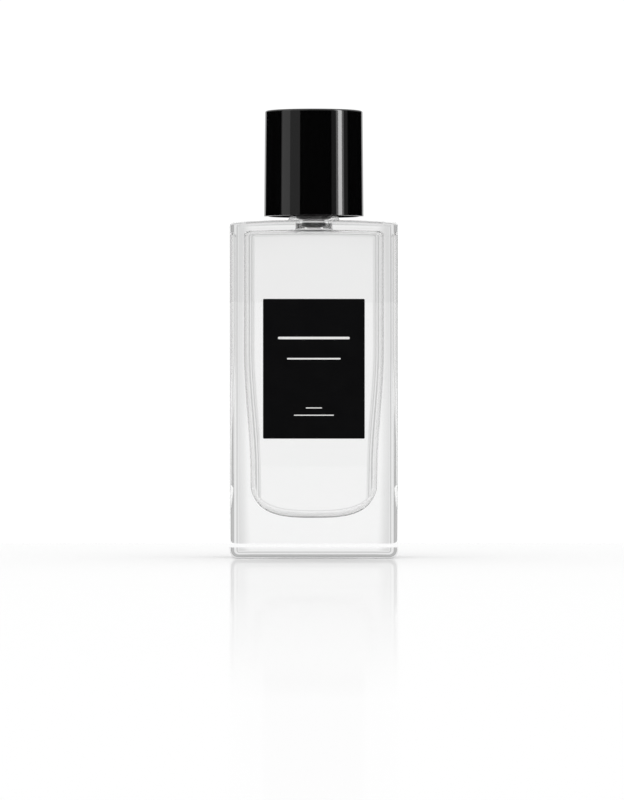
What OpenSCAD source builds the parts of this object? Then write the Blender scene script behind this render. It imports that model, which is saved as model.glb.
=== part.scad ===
// Square-shouldered glass splash bottle for aftershave, with a pouring plug in its neck
// and a tall screw cap. +Z up, the label faces -Y, and the origin is the middle of the base.

/* [Glass outside] */
// Width of the glass
glass_w = 54; // [46:1:66]
// Depth of the glass, front to back
glass_d = 34; // [30:1:46]
// Height of the glass from the base to the top of its shoulder
glass_h = 108.8; // [88:0.5:132]
// How far the shoulder falls from its middle to each side
crown_h = 0.9; // [0.3:0.1:2]
// Radius of the four upright edges
side_r = 3; // [1.5:0.5:5]
// Radius of the edge around the base
heel_r = 2.8; // [1:0.2:5]
// Radius of the edge around the shoulder
shoulder_r = 1.2; // [0.6:0.1:2.4]

/* [Glass inside] */
// Thickness of the glass at each side
side_wall = 5.5; // [4:0.5:8]
// Thickness of the glass at the front and at the back
front_wall = 3.8; // [3:0.2:6]
// Thickness of the glass base
base_t = 13; // [6:0.5:18]
// Thickness of the shoulder above the inside of the bottle
roof_t = 4; // [3:0.5:6]
// Radius of the upright corners of the inside
inside_side_r = 4.2; // [2:0.2:6]
// Radius between the inside floor and the two sides
inside_low_r = 10; // [4:0.5:12]
// Radius between the inside floor and the front and back
inside_heel_r = 2.6; // [1:0.2:4]
// Radius of the edge between the inside walls and the shoulder
inside_roof_r = 2.2; // [1:0.2:4]
// Space between the aftershave and the lower end of the pouring plug
plug_space = 0.4; // [0.2:0.1:1.2]

/* [Neck] */
// Height of the neck above the shoulder
neck_h = 13; // [10:0.5:16]
// Diameter of the neck between the turns of its thread
neck_d = 16; // [15:0.1:20]
// Radius of the hollow between the shoulder and the neck
root_r = 1; // [0.4:0.1:1.2]
// How far the thread stands out from the neck
thread_depth = 0.85; // [0.6:0.05:1.2]
// Rise of the thread in one turn
thread_pitch = 3.175; // [2.8:0.005:3.6]
// Turns of thread on the neck
neck_turns = 1.5; // [1:0.25:2]
// Turns of thread inside the cap
cap_turns = 1.25; // [1:0.25:1.5]
// Diameter of the hole down the neck
bore_d = 12; // [9.6:0.1:13]

/* [Pouring plug] */
// How far the plug reaches down from the rim of the neck
plug_h = 15.4; // [8:0.2:18]
// Wall of the plug's tube
plug_wall = 1.2; // [0.8:0.1:2]
// Width of the plug's lip where it lies on the rim of the neck
lip_w = 1.5; // [1:0.1:2.4]
// Thickness of the plug's lip
lip_t = 1.2; // [0.8:0.1:2]
// Diameter of the pouring hole
orifice_d = 3.4; // [2:0.1:5]
// Number of sealing rings around the plug
ring_count = 3; // [1:1:4]

/* [Cap] */
// Diameter of the cap at its rim
cap_d = 32.2; // [30:0.5:36]
// How much narrower the cap is at its top
cap_draft = 0.6; // [0.2:0.1:1.2]
// Height of the cap
cap_h = 34.2; // [26:0.1:44]
// Gap between the shoulder and the rim of the closed cap
cap_gap = 1.3; // [0.6:0.05:3]
// Wall of the cap's outer shell at its top
shell_wall = 1.2; // [0.9:0.1:2]
// Thickness of the shell's top
shell_top_t = 1.6; // [1:0.1:3]
// Radius of the edge around the top of the cap
cap_edge_r = 0.6; // [0.3:0.1:1]
// Wall of the threaded insert
insert_wall = 1.4; // [1:0.1:2]
// How far the insert sits up inside the rim of the shell
rim_step = 0.9; // [0.4:0.1:2]
// Number of ribs between the insert and the shell
rib_count = 8; // [4:1:12]
// Thickness of the sealing wad
wad_t = 1; // [0.8:0.1:2]

/* [Label] */
// Width of the front label
label_w = 32.6; // [20:0.2:40]
// Height of the front label
label_h = 44.8; // [20:0.1:60]
// Height of the label's lower edge above the base
label_z = 38.4; // [12:0.1:50]
// Thickness of the label
label_t = 0.12; // [0.08:0.02:0.3]

/* [Hidden] */

$fn = 96;
cut = 1;               // how far a cutter runs past the face it opens
hair = 0.05;           // how far a crossing outline stands clear of an arc
thread_gap = 0.2;      // radial clearance between the two threads
press_gap = 0.02;      // radial clearance of pieces that are pressed together
seal_gap = 0.1;        // space on each side of the sealing wad
liquid_gap = 0.05;     // space between the liquid and the glass
wad_side_gap = 0.4;    // radial clearance of the wad inside the insert
ring_depth = 0.25;     // how far the sealing rings stand out from the plug
ring_h = 0.8;          // height of one sealing ring
chamfer = 0.5;         // chamfer on the neck's rim, the plug and the wad
label_corner_r = 0.4;

root_drop = 0.15;      // how far the hollow starts below the crown's middle

root_w = 1.9;          // width of a thread at its foot
crest_w = 0.9;         // width of a thread at its crest
thread_sink = 0.4;     // how far a thread's foot is sunk in its wall
thread_steps = 36;     // steps in one turn of thread
run_out = 4;           // steps over which a thread sinks into its wall at each end
rim_to_thread = 1.9;   // from the rim of the neck to the middle of the last turn

floor_t = 1.2;         // plate of the plug that holds the pouring hole
dish_d = 7.5;          // shallow dish around the pouring hole
dish_h = 0.6;
insert_roof_t = 1.2;   // plate of the insert above the wad
flange_t = 1.2;        // ring that closes the insert against the shell's rim
rib_t = 1;

inside_w = glass_w - 2 * side_wall;
inside_d = glass_d - 2 * front_wall;
inside_h = glass_h - roof_t - base_t;

rim_z = glass_h + neck_h;
lip_z = rim_z + lip_t;
wad_z = lip_z + seal_gap;
insert_roof_z = wad_z + wad_t + seal_gap;
cap_z = glass_h + cap_gap;
insert_z = cap_z + rim_step;
shell_in_r = (cap_d - cap_draft) / 2 - shell_wall;

thread_r = neck_d / 2 + thread_depth;
insert_in_r = thread_r + thread_gap;
insert_out_r = insert_in_r + insert_wall;
neck_thread_z = rim_z - rim_to_thread - neck_turns * thread_pitch;
cap_thread_z = neck_thread_z - thread_pitch / 2;

// ---- outlines ----

// Rectangle with round corners, centred.
module rounded_rect(w, h, r) {
    square([w - 2 * r, h], center = true);
    square([w, h - 2 * r], center = true);
    for (x = [-1, 1], y = [-1, 1])
        translate([x * (w / 2 - r), y * (h / 2 - r)]) circle(r);
}

// Strip whose top edge is an arc: 0 at both ends and rise at the middle.
module arched_strip(half_w, rise, depth) {
    arc_r = (pow(half_w, 2) + pow(rise, 2)) / (2 * rise);
    intersection() {
        translate([-half_w, -depth]) square([2 * half_w, depth + rise + cut]);
        translate([0, rise - arc_r]) circle(arc_r, $fn = 720);
    }
}

// Upright section of a rounded block that stands on y = 0. Its top falls by crown towards
// the sides, in an arc.
module block_section(w, h, low_r, top_r, crown) {
    side_top = h - crown - top_r;
    translate([-w / 2, low_r]) square([w, side_top - low_r]);
    for (x = [-1, 1]) {
        translate([x * (w / 2 - low_r), low_r]) circle(low_r);
        translate([x * (w / 2 - top_r), side_top]) circle(top_r);
    }
    if (crown > 0)
        translate([0, h - crown]) arched_strip(w / 2 - top_r, crown, h / 2);
    else
        translate([top_r - w / 2, h / 2]) square([w - 2 * top_r, h / 2]);
    translate([low_r - w / 2, 0]) square([w - 2 * low_r, h / 2 + cut]);
}

// Block with round edges: what its plan, its front and its side have in common. Its base has
// radius low_r at the left and right and front_low_r at the front and back. Its side stands a
// hair above a crowned top, so that the arc alone forms the top.
module rounded_block(w, d, h, edge_r, low_r, front_low_r, top_r, crown = 0) {
    side_h = crown > 0 ? h + hair : h;
    intersection() {
        translate([0, 0, -cut]) linear_extrude(h + 2 * cut) rounded_rect(w, d, edge_r);
        translate([0, d / 2 + cut, 0]) rotate([90, 0, 0])
            linear_extrude(d + 2 * cut) block_section(w, h, low_r, top_r, crown);
        translate([-w / 2 - cut, 0, 0]) rotate([90, 0, 90])
            linear_extrude(w + 2 * cut) block_section(d, side_h, front_low_r, top_r, 0);
    }
}

// ---- threads ----

// Right-hand ridge around the Z axis, starting at z = 0. It runs from foot_r to crest_r, which
// may lie inside foot_r, and sinks into its wall at both ends.
module thread_ridge(foot_r, crest_r, turns) {
    out = crest_r > foot_r ? 1 : -1;
    base_r = foot_r - out * thread_sink;
    sunk_r = foot_r - out * thread_sink / 2;
    last = round(turns * thread_steps);
    function reach(i) = min(1, i / run_out, (last - i) / run_out);
    points = [for (i = [0 : last])
        let (a = 360 * i / thread_steps, z = thread_pitch * i / thread_steps,
             top_r = sunk_r + (crest_r - sunk_r) * reach(i))
        for (c = [[base_r, -root_w], [top_r, -crest_w], [top_r, crest_w], [base_r, root_w]])
            [c[0] * cos(a), c[0] * sin(a), z + c[1] / 2]];
    sides = [for (i = [0 : last - 1], j = [0 : 3])
        let (k = (j + 1) % 4)
        [4 * i + j, 4 * i + k, 4 * i + 4 + k, 4 * i + 4 + j]];
    faces = concat([[3, 2, 1, 0]], sides, [[4 * last, 4 * last + 1, 4 * last + 2, 4 * last + 3]]);
    polyhedron(points, out > 0 ? faces : [for (f = faces) [for (n = [3 : -1 : 0]) f[n]]]);
}

// Ring between two radii.
module tube(outer_r, inner_r, h) {
    difference() {
        cylinder(h = h, r = outer_r);
        translate([0, 0, -cut]) cylinder(h = h + 2 * cut, r = inner_r);
    }
}

// ---- pieces ----

// Half section of the neck, with the hollow at its foot. It reaches down into the shoulder.
module neck_section() {
    neck_r = neck_d / 2;
    root_top = root_r - root_drop;
    polygon([[0, -roof_t / 2], [neck_r, -roof_t / 2], [neck_r, neck_h - chamfer],
             [neck_r - chamfer, neck_h], [0, neck_h]]);
    difference() {
        translate([neck_r - chamfer, -roof_t / 2])
            square([root_r + chamfer, roof_t / 2 + root_top]);
        translate([neck_r + root_r, root_top]) circle(root_r);
    }
}

// The room inside the glass, made smaller all round by gap.
module inside_room(gap = 0) {
    translate([0, 0, base_t + gap])
        rounded_block(inside_w - 2 * gap, inside_d - 2 * gap, inside_h - 2 * gap,
                      inside_side_r, inside_low_r, inside_heel_r, inside_roof_r);
}

// Thick clear glass with a heavy base and a threaded neck.
module glass_bottle() {
    color([0.86, 0.91, 0.91, 0.4]) difference() {
        union() {
            rounded_block(glass_w, glass_d, glass_h, side_r, heel_r, heel_r, shoulder_r, crown_h);
            translate([0, 0, glass_h]) rotate_extrude() neck_section();
            translate([0, 0, neck_thread_z])
                thread_ridge(neck_d / 2, thread_r, neck_turns);
        }
        inside_room();
        translate([0, 0, glass_h - roof_t - cut])
            cylinder(h = roof_t + neck_h + 2 * cut, d = bore_d);
    }
}

// The aftershave, which fills the inside and the neck to just under the plug.
module aftershave_liquid() {
    ceiling_z = base_t + inside_h;
    color([0.93, 0.95, 0.88, 0.6]) union() {
        inside_room(liquid_gap);
        translate([0, 0, ceiling_z - cut])
            cylinder(h = rim_z - plug_h - plug_space - ceiling_z + cut, d = bore_d - 2 * liquid_gap);
    }
}

// Plug pressed into the neck, with a small hole that lets out a little at a time.
module orifice_reducer() {
    tube_r = bore_d / 2 - ring_depth;
    ring_step = (plug_h - 2 * chamfer) / (ring_count + 1);
    color([0.08, 0.08, 0.09]) difference() {
        translate([0, 0, rim_z]) {
            cylinder(h = lip_t, r = bore_d / 2 + lip_w);
            translate([0, 0, chamfer - plug_h]) cylinder(h = plug_h - chamfer, r = tube_r);
            translate([0, 0, -plug_h]) cylinder(h = chamfer, r1 = tube_r - chamfer / 2, r2 = tube_r);
            for (i = [1 : ring_count])
                translate([0, 0, -ring_step * i - ring_h / 2])
                    cylinder(h = ring_h, r = bore_d / 2 - press_gap);
        }
        translate([0, 0, rim_z - plug_h - cut])
            cylinder(h = plug_h + lip_t - floor_t + cut, r = tube_r - plug_wall);
        translate([0, 0, rim_z - cut]) cylinder(h = lip_t + 2 * cut, d = orifice_d);
        translate([0, 0, lip_z - dish_h]) cylinder(h = dish_h, d1 = orifice_d, d2 = dish_d);
    }
}

// Glossy outer shell of the cap, closed at the top and open at the rim.
module cap_shell() {
    top_r = (cap_d - cap_draft) / 2;
    color([0.04, 0.04, 0.045]) translate([0, 0, cap_z]) difference() {
        rotate_extrude() {
            polygon([[0, 0], [cap_d / 2, 0], [top_r, cap_h - cap_edge_r],
                     [top_r - cap_edge_r, cap_h - cap_edge_r],
                     [top_r - cap_edge_r, cap_h], [0, cap_h]]);
            intersection() {
                translate([top_r - cap_edge_r, cap_h - cap_edge_r]) circle(cap_edge_r);
                translate([top_r - cap_edge_r, cap_h - cap_edge_r]) square(cap_edge_r);
            }
        }
        translate([0, 0, -cut]) cylinder(h = cap_h - shell_top_t + cut, r = shell_in_r);
    }
}

// Threaded insert pressed into the shell: a tube, a roof above the wad, a flange and ribs.
module cap_insert() {
    insert_h = insert_roof_z - insert_z;
    flange_r = shell_in_r - press_gap;
    color([0.16, 0.16, 0.17]) {
        translate([0, 0, insert_z]) {
            tube(insert_out_r, insert_in_r, insert_h);
            tube(flange_r, insert_in_r, flange_t);
            translate([0, 0, insert_h]) cylinder(h = insert_roof_t, r = flange_r);
            for (i = [0 : rib_count - 1])
                rotate([0, 0, 360 * i / rib_count])
                    translate([(insert_in_r + insert_out_r) / 2, -rib_t / 2, flange_t / 2])
                        cube([flange_r - hair - (insert_in_r + insert_out_r) / 2, rib_t,
                              insert_h + (insert_roof_t - flange_t) / 2]);
        }
        translate([0, 0, cap_thread_z])
            thread_ridge(insert_in_r, neck_d / 2 + thread_gap, cap_turns);
    }
}

// Soft wad that seals on the plug's lip.
module cap_liner() {
    wad_r = insert_in_r - wad_side_gap;
    color([0.93, 0.93, 0.9]) translate([0, 0, wad_z]) {
        cylinder(h = wad_t / 2, r1 = wad_r - chamfer / 2, r2 = wad_r);
        translate([0, 0, wad_t / 2]) cylinder(h = wad_t / 2, r1 = wad_r, r2 = wad_r - chamfer / 2);
    }
}

// Black label on the front face.
module front_label() {
    color([0.05, 0.05, 0.055])
        translate([0, -glass_d / 2, label_z + label_h / 2]) rotate([90, 0, 0])
            linear_extrude(label_t) rounded_rect(label_w, label_h, label_corner_r);
}

glass_bottle();
aftershave_liquid();
orifice_reducer();
cap_shell();
cap_insert();
cap_liner();
front_label();
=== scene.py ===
"""Looks of the aftershave bottle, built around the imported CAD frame. Everything is in metres."""
import math

import bpy
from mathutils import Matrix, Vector


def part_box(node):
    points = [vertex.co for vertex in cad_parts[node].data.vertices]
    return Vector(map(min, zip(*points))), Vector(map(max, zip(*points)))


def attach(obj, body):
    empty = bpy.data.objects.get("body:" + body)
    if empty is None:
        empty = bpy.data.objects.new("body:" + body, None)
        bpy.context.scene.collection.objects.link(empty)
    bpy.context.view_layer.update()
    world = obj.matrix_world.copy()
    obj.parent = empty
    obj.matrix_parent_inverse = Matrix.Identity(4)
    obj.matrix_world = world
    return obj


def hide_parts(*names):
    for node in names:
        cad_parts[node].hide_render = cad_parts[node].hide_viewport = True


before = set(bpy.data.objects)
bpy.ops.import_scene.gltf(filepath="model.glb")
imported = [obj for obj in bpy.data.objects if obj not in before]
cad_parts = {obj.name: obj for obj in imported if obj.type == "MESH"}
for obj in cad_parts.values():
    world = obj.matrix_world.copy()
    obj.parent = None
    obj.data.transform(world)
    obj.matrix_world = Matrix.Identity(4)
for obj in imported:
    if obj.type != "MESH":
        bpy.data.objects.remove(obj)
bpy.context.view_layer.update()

MM = 0.001

# ---- sizes that the looks need, from the frame where it has them ----

glass_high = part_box("glass_bottle")[1]
liquid_low, liquid_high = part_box("aftershave_liquid")
label_low, label_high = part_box("front_label")
plug_low, plug_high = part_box("orifice_reducer")
shell_low, shell_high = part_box("cap_shell")
wad_low, wad_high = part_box("cap_liner")

HALF_W = glass_high.x
HALF_D = glass_high.y
RIM_Z = glass_high.z
SHOULDER_Z = RIM_Z - 13 * MM
LIQUID_GAP = 0.05 * MM                 # between the CAD liquid and the CAD glass
INSIDE_HALF_D = liquid_high.y + LIQUID_GAP
FLOOR_Z = liquid_low.z - LIQUID_GAP
CEILING_Z = SHOULDER_Z - 3.4 * MM
LIQUID_Z = liquid_high.z

SIDE_R = 3.0 * MM
HEEL_R = 2.8 * MM
SHOULDER_R = 1.2 * MM
CROWN_X = 0.9 * MM                     # fall of the shoulder to its sides
CROWN_Y = 0.25 * MM                    # fall of the shoulder to its front and back
PUNT_H = 0.45 * MM                     # hollow under the base

INSIDE_HIGH_W = 22.3 * MM              # half-width of the inside near its top
INSIDE_LOW_W = 20.3 * MM               # half-width of the inside above its floor
TAPER_LOW_Z = 27 * MM                  # the inside widens between these two heights
TAPER_HIGH_Z = 67 * MM
FLOOR_POWER = 3.0                      # squareness of the floor's curve from side to side
INSIDE_SIDE_R = 3.4 * MM
INSIDE_HEEL_R = 2.2 * MM
INSIDE_ROOF_R = 1.5 * MM
ROOF_FALL = 0.4 * MM                   # fall of the inside's ceiling to its sides

NECK_R = 8.0 * MM
NECK_FILLET = 1.0 * MM
RIM_R = 0.5 * MM
BORE_R = 6.0 * MM
BORE_FILLET = 0.4 * MM
THREAD_DEPTH = 0.85 * MM
THREAD_PITCH = 3.175 * MM
THREAD_TURNS = 1.5
THREAD_FOOT = 1.9 * MM
THREAD_CREST = 0.9 * MM
THREAD_Z = RIM_Z - 1.9 * MM - THREAD_TURNS * THREAD_PITCH
THREAD_RUN_OUT = 0.11                  # turns over which the thread fades out

FACE_FLAT_W = 20.0 * MM                # the faces lean in from here to the upright edges
FACE_BEND = 1.0 * MM                   # the bend's width
FACE_SLOPE = 0.055                     # and the slope they reach

LIQUID_SINK = 0.06 * MM                # how far the liquid's skin reaches into the glass
MENISCUS_H = 0.5 * MM

ARC_STEPS = 10                         # steps of a rounded edge
FLOOR_RINGS = 30                       # rings of the inside floor
HEEL_RINGS = 9                         # of which in the radius at the front and back
CORNER_STEPS = 14                      # steps of an upright corner
LONG_STEPS = 26                        # points between the corners, front and back
SHORT_STEPS = 16                       # points between the corners, at the sides
RING_POINTS = 4 * (CORNER_STEPS + 1) + 2 * (LONG_STEPS + SHORT_STEPS)
SPIN_STEPS = 192


# ---- camera: level, square on to the label ----

CAMERA_DISTANCE = 1.9
CAMERA_Z = 50.8 * MM
CAMERA_X = -0.6 * MM

camera_data = bpy.data.cameras.new("camera")
camera_data.lens = 264.5
camera_data.sensor_width = 36
camera_data.clip_start = 0.05
camera = bpy.data.objects.new("camera", camera_data)
camera.location = (CAMERA_X, -CAMERA_DISTANCE, CAMERA_Z)
camera.rotation_euler = (math.radians(90), 0, 0)
bpy.context.scene.collection.objects.link(camera)
bpy.context.scene.camera = camera


# ---- rings, lofts and turned shapes ----

def rect_ring(half_w, half_d, radius):
    """Points of a rounded rectangle, anticlockwise from the front edge's right-hand corner."""
    ring = []
    corners = [(1, 1, 0), (-1, 1, 90), (-1, -1, 180), (1, -1, 270)]
    for index, (sx, sy, start) in enumerate(corners):
        cx, cy = sx * (half_w - radius), sy * (half_d - radius)
        for step in range(CORNER_STEPS + 1):
            a = math.radians(start + 90 * step / CORNER_STEPS)
            ring.append((cx + radius * math.cos(a), cy + radius * math.sin(a)))
        nx, ny, after = corners[(index + 1) % 4]
        a = math.radians(after)
        end = (nx * (half_w - radius) + radius * math.cos(a),
               ny * (half_d - radius) + radius * math.sin(a))
        last = ring[-1]
        count = LONG_STEPS if index % 2 == 0 else SHORT_STEPS
        for step in range(1, count + 1):
            t = step / (count + 1)
            ring.append((last[0] + (end[0] - last[0]) * t, last[1] + (end[1] - last[1]) * t))
    return ring


def circle_ring(radius):
    """The same number of points on a circle, with the middles of the four sides in line."""
    top = CORNER_STEPS + 1 + LONG_STEPS / 2 - 0.5
    angles = [math.radians(90 + 360 * (i - top) / RING_POINTS) for i in range(RING_POINTS)]
    return [(radius * math.cos(a), radius * math.sin(a)) for a in angles]


def mix_rings(a, b, t):
    return [(p[0] + (q[0] - p[0]) * t, p[1] + (q[1] - p[1]) * t) for p, q in zip(a, b)]


def quarter(steps=ARC_STEPS):
    """Angles of a quarter turn, both ends included."""
    return [math.radians(90 * i / steps) for i in range(steps + 1)]


def spread(start, stop, count):
    """Values between start and stop, both ends left out."""
    return [start + (stop - start) * i / (count + 1) for i in range(1, count + 1)]


def new_object(name, verts, faces, material):
    mesh = bpy.data.meshes.new(name)
    mesh.from_pydata(verts, [], faces)
    mesh.validate()
    mesh.shade_smooth()
    mesh.materials.append(material)
    obj = bpy.data.objects.new(name, mesh)
    bpy.context.scene.collection.objects.link(obj)
    return obj


def loft(name, rings, material):
    """Closed skin through rings of (x, y, z) points. The first and last rings end in a point."""
    count = len(rings[0])
    verts = [sum((Vector(p) for p in rings[0]), Vector()) / count]
    for ring in rings:
        verts.extend(Vector(p) for p in ring)
    verts.append(sum((Vector(p) for p in rings[-1]), Vector()) / count)
    faces = [(0, 1 + (i + 1) % count, 1 + i) for i in range(count)]
    for r in range(len(rings) - 1):
        base = 1 + r * count
        for i in range(count):
            j = (i + 1) % count
            faces.append((base + i, base + j, base + count + j, base + count + i))
    base = 1 + (len(rings) - 1) * count
    faces += [(base + i, base + (i + 1) % count, len(verts) - 1) for i in range(count)]
    return new_object(name, verts, faces, material)


def turned(name, profile, material, steps=SPIN_STEPS):
    """Closed skin of revolution from a closed outline of (radius, z), anticlockwise in r and z."""
    verts, faces, index = [], [], []
    for radius, z in profile:
        if radius < 1e-9:
            index.append([len(verts)] * steps)
            verts.append((0, 0, z))
            continue
        index.append(range(len(verts), len(verts) + steps))
        for i in range(steps):
            a = 2 * math.pi * i / steps
            verts.append((radius * math.cos(a), radius * math.sin(a), z))
    for k in range(len(profile)):
        low, high = index[k], index[(k + 1) % len(profile)]
        for i in range(steps):
            j = (i + 1) % steps
            corners = list(dict.fromkeys((low[i], low[j], high[j], high[i])))
            if len(corners) > 2:
                faces.append(corners)
    return new_object(name, verts, faces, material)


def rounded_outline(corners, steps=6):
    """Outline of (radius, z) whose corners (radius, z, rounding) are rounded with arcs."""
    outline = []
    for k, (r, z, rounding) in enumerate(corners):
        here = Vector((r, z))
        if rounding <= 0:
            outline.append((r, z))
            continue
        before = (Vector(corners[k - 1][:2]) - here).normalized()
        after = (Vector(corners[(k + 1) % len(corners)][:2]) - here).normalized()
        half = before.angle(after) / 2
        reach = rounding / math.tan(half)
        centre = here + (before + after).normalized() * rounding / math.sin(half)
        a = here + before * reach - centre
        b = here + after * reach - centre
        sweep = a.angle_signed(b)
        for i in range(steps + 1):
            turn = -sweep * i / steps
            c, s = math.cos(turn), math.sin(turn)
            outline.append((centre.x + a.x * c - a.y * s, centre.y + a.x * s + a.y * c))
    return outline


def weigh_normals(obj):
    """Keeps flat faces flat under smooth shading."""
    modifier = obj.modifiers.new("normals", "WEIGHTED_NORMAL")
    modifier.weight = 100


# ---- node helpers ----

def new_material(name):
    material = bpy.data.materials.new(name)
    material.use_nodes = True
    tree = material.node_tree
    return material, tree.nodes, tree.links, tree.nodes["Principled BSDF"]


def noise(nodes, links, scale, detail=3.0, roughness=0.5, stretch=(1, 1, 1)):
    """Noise in the object's own metres; returns its value socket."""
    place = nodes.new("ShaderNodeTexCoord")
    mapping = nodes.new("ShaderNodeMapping")
    mapping.inputs["Scale"].default_value = stretch
    texture = nodes.new("ShaderNodeTexNoise")
    texture.inputs["Scale"].default_value = scale
    texture.inputs["Detail"].default_value = detail
    texture.inputs["Roughness"].default_value = roughness
    links.new(place.outputs["Object"], mapping.inputs["Vector"])
    links.new(mapping.outputs["Vector"], texture.inputs["Vector"])
    return texture.outputs["Fac"]


def ranged(nodes, links, value, low, high, from_low=0.3, from_high=0.7):
    node = nodes.new("ShaderNodeMapRange")
    node.inputs["From Min"].default_value = from_low
    node.inputs["From Max"].default_value = from_high
    node.inputs["To Min"].default_value = low
    node.inputs["To Max"].default_value = high
    links.new(value, node.inputs["Value"])
    return node.outputs["Result"]


def bump(nodes, links, shader, height, distance, strength=1.0):
    node = nodes.new("ShaderNodeBump")
    node.inputs["Strength"].default_value = strength
    node.inputs["Distance"].default_value = distance
    links.new(height, node.inputs["Height"])
    links.new(node.outputs["Normal"], shader.inputs["Normal"])


def tinted(nodes, links, value, dark, light):
    """Colour between two tints, by a value from 0 to 1."""
    ramp = nodes.new("ShaderNodeValToRGB")
    ramp.color_ramp.elements[0].color = (*dark, 1)
    ramp.color_ramp.elements[0].position = 0.35
    ramp.color_ramp.elements[1].color = (*light, 1)
    ramp.color_ramp.elements[1].position = 0.65
    links.new(value, ramp.inputs["Fac"])
    return ramp.outputs["Color"]


# ---- materials ----

def glass_material():
    material, nodes, links, shader = new_material("clear_glass")
    cloud = noise(nodes, links, 45, detail=2.0)
    links.new(tinted(nodes, links, cloud, (0.986, 0.99, 0.989), (0.993, 0.993, 0.993)),
              shader.inputs["Base Color"])
    shader.inputs["Roughness"].default_value = 0.0
    shader.inputs["IOR"].default_value = 1.5
    shader.inputs["Transmission Weight"].default_value = 1.0
    return material


def liquid_material():
    material, nodes, links, shader = new_material("aftershave")
    cloud = noise(nodes, links, 30, detail=1.0)
    links.new(tinted(nodes, links, cloud, (0.984, 0.981, 0.98), (0.987, 0.984, 0.984)),
              shader.inputs["Base Color"])
    shader.inputs["Roughness"].default_value = 0.0
    shader.inputs["IOR"].default_value = 1.36
    shader.inputs["Transmission Weight"].default_value = 1.0
    return material


def cap_material():
    material, nodes, links, shader = new_material("cap_gloss")
    shader.inputs["Base Color"].default_value = (0.0012, 0.0012, 0.0013, 1)
    shader.inputs["IOR"].default_value = 1.5
    fine = noise(nodes, links, 900, detail=4.0, stretch=(1, 1, 0.15))
    links.new(ranged(nodes, links, fine, 0.045, 0.075), shader.inputs["Roughness"])
    wave = noise(nodes, links, 60, detail=1.0)
    bump(nodes, links, shader, wave, 0.01 * MM, 0.4)
    return material


def satin_plastic(name, dark, light, roughness, grain):
    material, nodes, links, shader = new_material(name)
    fine = noise(nodes, links, grain, detail=4.0)
    broad = noise(nodes, links, grain / 12, detail=2.0)
    links.new(tinted(nodes, links, broad, dark, light), shader.inputs["Base Color"])
    links.new(ranged(nodes, links, fine, roughness - 0.06, roughness + 0.06),
              shader.inputs["Roughness"])
    bump(nodes, links, shader, fine, 0.02 * MM, 0.5)
    return material


def label_material():
    material, nodes, links, shader = new_material("label_paper")
    grain = noise(nodes, links, 4200, detail=3.0, roughness=0.6)
    cloud = noise(nodes, links, 160, detail=2.0)
    links.new(tinted(nodes, links, cloud, (0.0016, 0.0016, 0.0019), (0.0022, 0.0022, 0.0025)),
              shader.inputs["Base Color"])
    links.new(ranged(nodes, links, grain, 0.42, 0.55), shader.inputs["Roughness"])
    shader.inputs["Specular IOR Level"].default_value = 0.04
    bump(nodes, links, shader, grain, 0.01 * MM, 0.5)
    return material


def ink_material():
    material, nodes, links, shader = new_material("label_ink")
    grain = noise(nodes, links, 5200, detail=3.0)
    links.new(tinted(nodes, links, grain, (0.74, 0.74, 0.73), (0.84, 0.84, 0.83)),
              shader.inputs["Base Color"])
    shader.inputs["Roughness"].default_value = 0.5
    bump(nodes, links, shader, grain, 0.005 * MM, 0.5)
    return material


GLASS = glass_material()
LIQUID = liquid_material()
CAP = cap_material()
INSERT = satin_plastic("insert_plastic", (0.012, 0.012, 0.013), (0.02, 0.02, 0.021), 0.38, 1500)
PLUG = satin_plastic("plug_plastic", (0.006, 0.006, 0.0065), (0.011, 0.011, 0.012), 0.32, 1300)
WAD = satin_plastic("wad_foam", (0.62, 0.62, 0.59), (0.74, 0.74, 0.71), 0.8, 2600)
LABEL = label_material()
INK = ink_material()


# ---- glass ----

def shoulder_fall(x, y):
    return CROWN_X * abs(x / HALF_W) ** 2.4 + CROWN_Y * abs(y / HALF_D) ** 2


def on_shoulder(points, z):
    """Ring near the shoulder, let down by the crown. The fall fades out over the top 8 mm."""
    weight = min(1.0, max(0.0, (z - SHOULDER_Z) / (8 * MM) + 1))
    return [(x, y, z - shoulder_fall(x, y) * weight) for x, y in points]


def face_fall(x, y):
    """The front and back faces lean in a little towards the upright edges. Returns the new y."""
    near_face = min(1.0, max(0.0, (abs(y) - HALF_D) / SIDE_R + 1))
    over = max(0.0, abs(x) - FACE_FLAT_W)
    lean = over * over / (over + FACE_BEND)
    return y - math.copysign(FACE_SLOPE * lean * near_face ** 2, y)


def inside_half_width(z):
    t = min(1.0, max(0.0, (z - TAPER_LOW_Z) / (TAPER_HIGH_Z - TAPER_LOW_Z)))
    return INSIDE_LOW_W + (INSIDE_HIGH_W - INSIDE_LOW_W) * t * t * (3 - 2 * t)


def floor_height(x, y):
    """Height of the inside floor: a bow from side to side, with a small radius front and back."""
    across = min(1.0, abs(x) / INSIDE_LOW_W)
    bow = TAPER_LOW_Z - (TAPER_LOW_Z - FLOOR_Z) * (1 - across ** FLOOR_POWER) ** (1 / FLOOR_POWER)
    over = min(1.0, max(0.0, (abs(y) - INSIDE_HALF_D) / INSIDE_HEEL_R + 1))
    return bow + INSIDE_HEEL_R * (1 - math.sqrt(1 - over * over))


def neck_radius(x, y, z):
    """Radius of the neck at this side and height, thread included."""
    side = (math.degrees(math.atan2(y, x)) % 360) / 360
    turns_up = (z - THREAD_Z) / THREAD_PITCH
    turn = side + round(turns_up - side)
    off = abs(turns_up - turn) * THREAD_PITCH
    flank = (THREAD_FOOT / 2 - off) / (THREAD_FOOT / 2 - THREAD_CREST / 2)
    ends = min(turn, THREAD_TURNS - turn) / THREAD_RUN_OUT
    reach = max(0.0, min(1.0, flank)) * max(0.0, min(1.0, ends))
    return NECK_R + THREAD_DEPTH * reach * reach * (3 - 2 * reach)


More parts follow.
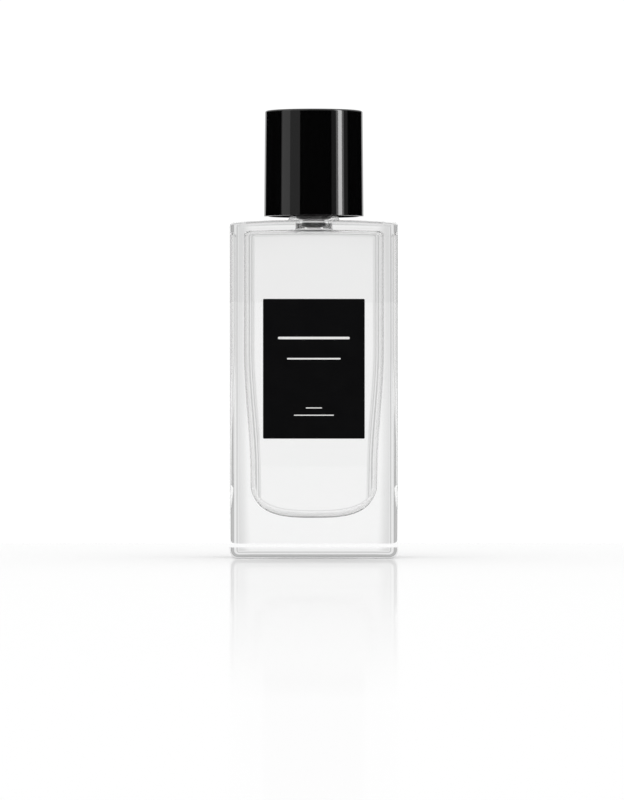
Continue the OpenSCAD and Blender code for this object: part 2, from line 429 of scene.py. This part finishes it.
def outside_rings():
    rings = []
    flat_w, flat_d = HALF_W - HEEL_R, HALF_D - HEEL_R
    for s in (0.06, 0.2, 0.4, 0.6, 0.8, 0.92, 0.97):
        hollow = PUNT_H * (1 - s ** 6) if s < 0.95 else 0.0
        rings.append([(x, y, hollow)
                      for x, y in rect_ring(flat_w * s, flat_d * s, 0.9 * MM * s)])
    for a in quarter():
        inset, z = HEEL_R * (1 - math.sin(a)), HEEL_R * (1 - math.cos(a))
        radius = max(SIDE_R - inset, 0.3 * MM)
        ring = rect_ring(HALF_W - inset, HALF_D - inset, radius)
        rings.append([(x, face_fall(x, y), z) for x, y in ring])
    wall = [(x, face_fall(x, y)) for x, y in rect_ring(HALF_W, HALF_D, SIDE_R)]
    edge_z = SHOULDER_Z - SHOULDER_R
    for z in [HEEL_R + 0.3 * MM, *spread(HEEL_R, edge_z, 24), edge_z - 0.3 * MM]:
        rings.append(on_shoulder(wall, z))
    for a in quarter():
        inset = SHOULDER_R * (1 - math.cos(a))
        ring = [(x * (1 - inset / HALF_W), y * (1 - inset / HALF_D)) for x, y in wall]
        rings.append(on_shoulder(ring, edge_z + SHOULDER_R * math.sin(a)))
    edge = [(x * (1 - SHOULDER_R / HALF_W), y * (1 - SHOULDER_R / HALF_D)) for x, y in wall]
    foot = circle_ring(NECK_R + NECK_FILLET)
    for t in (0.03, 0.1, 0.25, 0.4, 0.55, 0.7, 0.85):
        rings.append(on_shoulder(mix_rings(edge, foot, t), SHOULDER_Z))
    for a in quarter(6):
        ring = circle_ring(NECK_R + NECK_FILLET * (1 - math.sin(a)))
        rings.append([(x, y, SHOULDER_Z + NECK_FILLET * (1 - math.cos(a))) for x, y in ring])
    return rings


def neck_rings():
    rings = []
    unit = circle_ring(1.0)
    for z in spread(SHOULDER_Z + NECK_FILLET, RIM_Z - RIM_R, 62):
        rings.append([(x * neck_radius(x, y, z), y * neck_radius(x, y, z), z) for x, y in unit])
    for a in quarter(6):
        ring = circle_ring(NECK_R - RIM_R * (1 - math.cos(a)))
        rings.append([(x, y, RIM_Z - RIM_R * (1 - math.sin(a))) for x, y in ring])
    for a in quarter(4):
        ring = circle_ring(BORE_R + RIM_R * (1 - math.sin(a)))
        rings.append([(x, y, RIM_Z - RIM_R * (1 - math.cos(a))) for x, y in ring])
    for z in spread(RIM_Z - RIM_R, CEILING_Z + BORE_FILLET, 10):
        rings.append([(x, y, z) for x, y in circle_ring(BORE_R)])
    for a in quarter(6):
        ring = circle_ring(BORE_R + BORE_FILLET * (1 - math.cos(a)))
        rings.append([(x, y, CEILING_Z + BORE_FILLET * (1 - math.sin(a))) for x, y in ring])
    return rings


def inside_ring(inset, z, grow):
    """Level ring of the inside wall, moved out into the glass by grow."""
    radius = max(INSIDE_SIDE_R - inset, 0.4 * MM) + grow
    half_w = inside_half_width(z) - inset + grow
    return rect_ring(half_w, INSIDE_HALF_D - inset + grow, radius)


def under_roof(points, z):
    """Ring near the ceiling, let down towards the sides. The fall fades out over 8 mm."""
    weight = min(1.0, max(0.0, (z - CEILING_Z) / (8 * MM) + 1))
    return [(x, y, z - ROOF_FALL * weight * (x / INSIDE_HIGH_W) ** 2) for x, y in points]


def inside_rings(grow=0.0):
    """The inside from the edge of its ceiling down to the middle of its floor."""
    rings = []
    for a in quarter():
        z = CEILING_Z - INSIDE_ROOF_R * (1 - math.cos(a)) + grow
        rings.append(under_roof(inside_ring(INSIDE_ROOF_R * (1 - math.sin(a)), z, grow), z))
    low_z = TAPER_LOW_Z + INSIDE_HEEL_R + MM
    for z in spread(CEILING_Z - INSIDE_ROOF_R, low_z, 40) + [low_z]:
        rings.append(under_roof(inside_ring(0, z, grow), z))
    for step in range(FLOOR_RINGS):
        t = step / FLOOR_RINGS
        half_w = INSIDE_LOW_W * math.cos(math.radians(90 * t)) ** (2 / FLOOR_POWER)
        heel = math.radians(90 * min(1.0, step / HEEL_RINGS))
        past = max(0, step - HEEL_RINGS) / (FLOOR_RINGS - HEEL_RINGS)
        half_d = (INSIDE_HALF_D - INSIDE_HEEL_R) * (1 - past) + INSIDE_HEEL_R * math.cos(heel)
        radius = min(INSIDE_SIDE_R * (1 - t), half_w * 0.9, half_d * 0.9)
        ring = rect_ring(half_w, half_d, radius)
        out_w, out_d = 1 + grow / INSIDE_LOW_W, 1 + grow / INSIDE_HALF_D
        rings.append([(x * out_w, y * out_d, floor_height(x, y) - grow) for x, y in ring])
    return rings


def make_glass():
    rings = outside_rings() + neck_rings()
    bore = circle_ring(BORE_R + BORE_FILLET)
    roof = inside_ring(INSIDE_ROOF_R, CEILING_Z, 0)
    for t in (0.15, 0.35, 0.55, 0.75, 0.9, 0.97):
        rings.append(under_roof(mix_rings(bore, roof, t), CEILING_Z))
    rings += inside_rings()
    obj = loft("glass_body", rings, GLASS)
    weigh_normals(obj)
    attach(obj, "bottle")
    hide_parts("glass_bottle")


def make_liquid():
    """The liquid's skin lies just inside the glass, so that no film of air shows between."""
    bore_r = BORE_R + LIQUID_SINK
    rings = []
    for share in (0.05, 0.3, 0.6, 0.8, 0.92, 0.98, 1.0):
        z = LIQUID_Z - MENISCUS_H * (1 - share ** 8)
        rings.append([(x, y, z) for x, y in circle_ring(bore_r * share)])
    for a in quarter(6):
        ring = circle_ring(bore_r + BORE_FILLET * (1 - math.cos(a)))
        z = CEILING_Z + LIQUID_SINK + BORE_FILLET * (1 - math.sin(a))
        rings.append([(x, y, min(z, LIQUID_Z - 0.02 * MM)) for x, y in ring])
    bore = circle_ring(bore_r + BORE_FILLET)
    roof = inside_ring(INSIDE_ROOF_R, CEILING_Z, LIQUID_SINK)
    for t in (0.15, 0.35, 0.55, 0.75, 0.9, 0.97):
        rings.append(under_roof(mix_rings(bore, roof, t), CEILING_Z + LIQUID_SINK))
    rings += inside_rings(LIQUID_SINK)
    obj = loft("aftershave_body", rings[::-1], LIQUID)
    weigh_normals(obj)
    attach(obj, "bottle")
    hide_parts("aftershave_liquid")


# ---- cap, plug and wad ----

def make_cap_shell():
    """Outer shell with a soft top edge, a faintly domed top and a rounded rim."""
    rim_r = shell_high.x
    top_r = rim_r - 0.3 * MM
    inside_r = 14.6 * MM
    top_z, low_z = shell_high.z, shell_low.z
    corners = [(0, top_z, 0), (top_r * 0.5, top_z - 0.01 * MM, 0),
               (top_r, top_z - 0.04 * MM, 0.6 * MM), (rim_r, low_z, 0.12 * MM),
               (inside_r, low_z, 0.3 * MM), (inside_r, top_z - 1.6 * MM, 0.8 * MM),
               (0, top_z - 1.6 * MM, 0)]
    outline = rounded_outline(corners[::-1], 8)
    obj = turned("cap_shell_gloss", outline, CAP)
    weigh_normals(obj)
    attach(obj, "cap")
    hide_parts("cap_shell")


def make_plug():
    """Pouring plug: lip, three sealing rings, a dished top and a hollow below."""
    tube_r = BORE_R - 0.25 * MM
    hollow_r = tube_r - 1.2 * MM
    low_z = plug_low.z + 0.4 * MM
    hole_r = 1.7 * MM
    ring_step = (RIM_Z - plug_low.z - 1.0 * MM) / 4
    corners = [(hole_r, plug_high.z - 1.2 * MM, 0.1 * MM),
               (hollow_r, plug_high.z - 1.2 * MM, 0.3 * MM),
               (hollow_r, low_z, 0.2 * MM), (tube_r, low_z, 0.3 * MM)]
    ring_r = BORE_R - 0.02 * MM
    for i in (3, 2, 1):
        z = RIM_Z - ring_step * i
        corners += [(tube_r, z - 0.4 * MM, 0.05 * MM), (ring_r, z - 0.15 * MM, 0.1 * MM),
                    (ring_r, z + 0.15 * MM, 0.1 * MM), (tube_r, z + 0.4 * MM, 0.05 * MM)]
    corners += [(tube_r, RIM_Z, 0), (plug_high.x, RIM_Z, 0.2 * MM),
                (plug_high.x, plug_high.z, 0.35 * MM), (3.75 * MM, plug_high.z, 0.2 * MM),
                (hole_r, plug_high.z - 0.6 * MM, 0.1 * MM)]
    obj = turned("pouring_plug", rounded_outline(corners, 5), PLUG, 128)
    weigh_normals(obj)
    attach(obj, "bottle")
    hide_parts("orifice_reducer")


def make_wad():
    """Soft wad with rounded edges and the faint ring that the plug's lip presses into it."""
    low, high, radius = wad_low.z, wad_high.z, wad_high.x
    corners = [(0, low, 0), (5.6 * MM, low, 0), (6.0 * MM, low + 0.06 * MM, 0),
               (7.8 * MM, low + 0.06 * MM, 0), (8.2 * MM, low, 0),
               (radius, low, 0.3 * MM), (radius, high, 0.3 * MM), (0, high, 0)]
    obj = turned("sealing_wad", rounded_outline(corners, 5), WAD, 96)
    weigh_normals(obj)
    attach(obj, "wad")
    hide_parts("cap_liner")


# ---- label ----

def plate(name, centre_x, centre_z, width, height, radius, back_y, front_y, material):
    """Thin upright plate with round corners and a softened front edge."""
    soft = min(0.03 * MM, (back_y - front_y) / 2)
    outline = []
    for sx, sz, start in ((1, 1, 0), (-1, 1, 90), (-1, -1, 180), (1, -1, 270)):
        for step in range(7):
            a = math.radians(start + 15 * step)
            outline.append((sx * (width / 2 - radius) + radius * math.cos(a),
                            sz * (height / 2 - radius) + radius * math.sin(a)))
    rings = []
    for inset, y in ((0, back_y), (0, front_y + soft), (soft, front_y)):
        scale_x, scale_z = 1 - 2 * inset / width, 1 - 2 * inset / height
        rings.append([(centre_x + x * scale_x, y, centre_z + z * scale_z) for x, z in outline])
    obj = loft(name, rings, material)
    weigh_normals(obj)
    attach(obj, "bottle")
    return obj


def make_label():
    centre_z = (label_low.z + label_high.z) / 2
    height = label_high.z - label_low.z
    width = label_high.x - label_low.x
    face_y = label_low.y
    sheet = plate("label_sheet", 0, centre_z, width, height, 0.4 * MM, -HALF_D, face_y, LABEL)
    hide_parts("front_label")
    ink_y = face_y - 0.012 * MM
    rules = [(0.72, 23.0 * MM, 0.8 * MM), (0.572, 17.2 * MM, 0.5 * MM),
             (0.22, 5.2 * MM, 0.32 * MM), (0.168, 12.8 * MM, 0.32 * MM)]
    for index, (share, length, thick) in enumerate(rules):
        z = label_low.z + height * share
        rule = plate(f"label_rule_{index + 1}", 0, z, length, thick, thick * 0.45,
                     face_y + 0.02 * MM, ink_y, INK)


def dress_insert():
    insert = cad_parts["cap_insert"]
    insert.data.materials.clear()
    insert.data.materials.append(INSERT)


# ---- studio ----

def turn_from_back(nodes, links, vector):
    """Angle between a direction and +Y, from 0 to 1 for half a turn."""
    split = nodes.new("ShaderNodeSeparateXYZ")
    links.new(vector, split.inputs["Vector"])
    turn = nodes.new("ShaderNodeMath")
    turn.operation = "ARCCOSINE"
    links.new(split.outputs["Y"], turn.inputs[0])
    scale = nodes.new("ShaderNodeMath")
    scale.operation = "DIVIDE"
    scale.inputs[1].default_value = math.pi
    links.new(turn.outputs["Value"], scale.inputs[0])
    return scale.outputs["Value"]


def band(nodes, links, turn, points):
    """Brightness by the angle from +Y, from pairs of degrees and brightness."""
    node = nodes.new("ShaderNodeValToRGB")
    ramp = node.color_ramp
    ramp.interpolation = "EASE"
    links.new(turn, node.inputs["Fac"])
    while len(ramp.elements) < len(points):
        ramp.elements.new(0.5)
    for element, (angle, _) in zip(ramp.elements, points):
        element.position = angle / 180
    for element, (_, value) in zip(ramp.elements, points):
        element.color = (value, value, value, 1)
    return node.outputs["Color"]


def choose(nodes, links, when, yes, no):
    """One of two greys or colours, by a socket from 0 to 1."""
    node = nodes.new("ShaderNodeMix")
    node.data_type = "RGBA"
    links.new(when, node.inputs[0])
    for value, socket in ((no, node.inputs[6]), (yes, node.inputs[7])):
        if isinstance(value, float):
            socket.default_value = (value, value, value, 1)
        else:
            links.new(value, socket)
    return node.outputs[2]


# What refracted rays meet, by their angle from +Y: a bright back wall with darker sides.
SEEN_THROUGH = [(0, 0.91), (1.3, 0.91), (3, 0.7), (5, 0.82), (7, 0.5), (10, 0.83), (14, 0.78),
                (18, 0.4), (24, 0.5), (32, 0.32), (39, 0.82), (56, 0.82), (63, 0.4), (74, 0.4),
                (82, 0.82), (180, 0.85)]
SURROUND = 1.05                        # brightness of the surround in the picture itself
FLOOR_LIGHT = 1.065                    # brightness of the sky that lights the floor
FLOOR_GLOSS = 0.5                      # share of a clear lacquer's mirror image near the bottle
FLOOR_GLOSS_FAR = 0.03                 # and further out
GLOSS_FADES = (0.3, 0.9)               # between these distances from the bottle
FLOOR_X = (-1.2, 1.2)
FLOOR_Y = (-2.6, 0.19)
FLAG_RADIUS = 1.1
FLAG_Z = (0.10, 0.42)
FLAG_OPENING = 60                      # degrees, behind the bottle
FLAG_STEPS = 72

# Soft boxes: name, azimuth, distance, height, width, tall, radiance and elevation. Azimuth 0 is
# in front of the label, and it is positive to the label's right as the camera sees it.
SOFT_BOXES = [("left_box", -57, 1.0, 0.10, 1.8, 1.9, 0.5, 0),
              ("left_core", -68, 0.98, 0.10, 0.38, 1.9, 0.55, 0),
              ("right_wide", 63.5, 1.02, 0.10, 0.9, 1.9, 0.25, 0),
              ("right_mid", 63.5, 1.0, 0.10, 0.36, 1.9, 2.0, 0),
              ("right_strip", 63.5, 0.98, 0.10, 0.17, 1.9, 9.0, 0),
              ("top_box", 0, 1.1, 0.0, 1.4, 1.4, 0.35, 90)]
LIT_BY_BOXES = ("cap_shell_gloss", "pouring_plug", "sealing_wad", "cap_insert", "label_sheet")


def stage_surface(name, verts, faces, material):
    mesh = bpy.data.meshes.new(name)
    mesh.from_pydata(verts, [], faces)
    mesh.materials.append(material)
    surface = bpy.data.objects.new(name, mesh)
    bpy.context.scene.collection.objects.link(surface)
    return surface


def make_floor():
    """White floor that ends just behind the bottle, where it is as white as the surround."""
    material = bpy.data.materials.new("floor_white")
    material.use_nodes = True
    nodes, links = material.node_tree.nodes, material.node_tree.links
    nodes.clear()
    out = nodes.new("ShaderNodeOutputMaterial")
    diffuse = nodes.new("ShaderNodeBsdfDiffuse")
    diffuse.inputs["Color"].default_value = (0.95, 0.95, 0.95, 1)
    gloss = nodes.new("ShaderNodeBsdfAnisotropic")
    gloss.inputs["Roughness"].default_value = 0.05
    gloss.inputs["Color"].default_value = (1, 1, 1, 1)
    mix = nodes.new("ShaderNodeMixShader")
    lacquer = nodes.new("ShaderNodeFresnel")
    lacquer.inputs["IOR"].default_value = 1.25
    place = nodes.new("ShaderNodeTexCoord")
    reach = nodes.new("ShaderNodeVectorMath")
    reach.operation = "LENGTH"
    links.new(place.outputs["Object"], reach.inputs[0])
    fade = nodes.new("ShaderNodeMath")
    fade.operation = "MULTIPLY"
    links.new(lacquer.outputs["Fac"], fade.inputs[0])
    share = ranged(nodes, links, reach.outputs["Value"], FLOOR_GLOSS, FLOOR_GLOSS_FAR,
                   *GLOSS_FADES)
    links.new(share, fade.inputs[1])
    links.new(fade.outputs["Value"], mix.inputs["Fac"])
    links.new(diffuse.outputs["BSDF"], mix.inputs[1])
    links.new(gloss.outputs["BSDF"], mix.inputs[2])
    links.new(mix.outputs["Shader"], out.inputs["Surface"])
    (left, right), (front, back) = FLOOR_X, FLOOR_Y
    corners = [(left, front, 0), (right, front, 0), (right, back, 0), (left, back, 0)]
    stage_surface("floor", corners, [(0, 1, 2, 3)], material)


def soft_box(lit, name, azimuth, distance, height, width, tall, radiance, elevation):
    """Area light that only the objects in lit receive."""
    data = bpy.data.lights.new(name, "AREA")
    data.shape = "RECTANGLE"
    data.size, data.size_y = width, tall
    data.energy = radiance * math.pi * width * tall
    light = bpy.data.objects.new(name, data)
    a, e = math.radians(azimuth), math.radians(elevation)
    away = Vector((math.sin(a) * math.cos(e), -math.cos(a) * math.cos(e), math.sin(e)))
    light.location = away * distance + Vector((0, 0, height))
    light.rotation_euler = away.to_track_quat("Z", "Y").to_euler()
    light.visible_diffuse = False
    light.visible_transmission = False
    light.light_linking.receiver_collection = lit
    bpy.context.scene.collection.objects.link(light)


def make_world():
    """White surround. Refracted rays meet it darker to the sides, which draws the glass."""
    world = bpy.data.worlds.new("studio")
    bpy.context.scene.world = world
    world.use_nodes = True
    nodes, links = world.node_tree.nodes, world.node_tree.links
    nodes.clear()
    out = nodes.new("ShaderNodeOutputWorld")
    back = nodes.new("ShaderNodeBackground")
    links.new(back.outputs["Background"], out.inputs["Surface"])
    place = nodes.new("ShaderNodeTexCoord")
    turn = turn_from_back(nodes, links, place.outputs["Generated"])
    seen_through = band(nodes, links, turn, SEEN_THROUGH)
    rays = nodes.new("ShaderNodeLightPath")
    colour = choose(nodes, links, rays.outputs["Is Diffuse Ray"], FLOOR_LIGHT, 1.0)
    colour = choose(nodes, links, rays.outputs["Is Transmission Ray"], seen_through, colour)
    colour = choose(nodes, links, rays.outputs["Is Camera Ray"], SURROUND, colour)
    links.new(colour, back.inputs["Color"])


def make_flags():
    """Black band around the studio that only mirror images see. It keeps the cap dark, is open
    behind the bottle, and hangs high enough for the floor to mirror the white below it."""
    verts, faces = [], []
    for step in range(FLAG_STEPS + 1):
        a = math.radians(FLAG_OPENING / 2 + (360 - FLAG_OPENING) * step / FLAG_STEPS)
        verts += [(FLAG_RADIUS * math.sin(a), FLAG_RADIUS * math.cos(a), z) for z in FLAG_Z]
    for k in range(0, 2 * FLAG_STEPS, 2):
        faces.append((k, k + 1, k + 3, k + 2))
    material, nodes, links, shader = new_material("flag_black")
    shader.inputs["Base Color"].default_value = (0.002, 0.002, 0.002, 1)
    shader.inputs["Roughness"].default_value = 1.0
    shader.inputs["Specular IOR Level"].default_value = 0.0
    flags = stage_surface("flags", verts, faces, material)
    flags.visible_camera = False
    flags.visible_diffuse = False
    flags.visible_transmission = False
    flags.visible_shadow = False


def make_studio():
    make_floor()
    make_flags()
    make_world()
    lit = bpy.data.collections.new("lit_by_boxes")
    for name in LIT_BY_BOXES:
        lit.objects.link(bpy.data.objects[name])
    for box in SOFT_BOXES:
        soft_box(lit, *box)
    scene = bpy.context.scene
    scene.view_settings.view_transform = "Standard"
    scene.cycles.max_bounces = 24
    scene.cycles.transmission_bounces = 24
    scene.cycles.glossy_bounces = 12


make_glass()
make_liquid()
make_cap_shell()
make_plug()
make_wad()
make_label()
dress_insert()
make_studio()
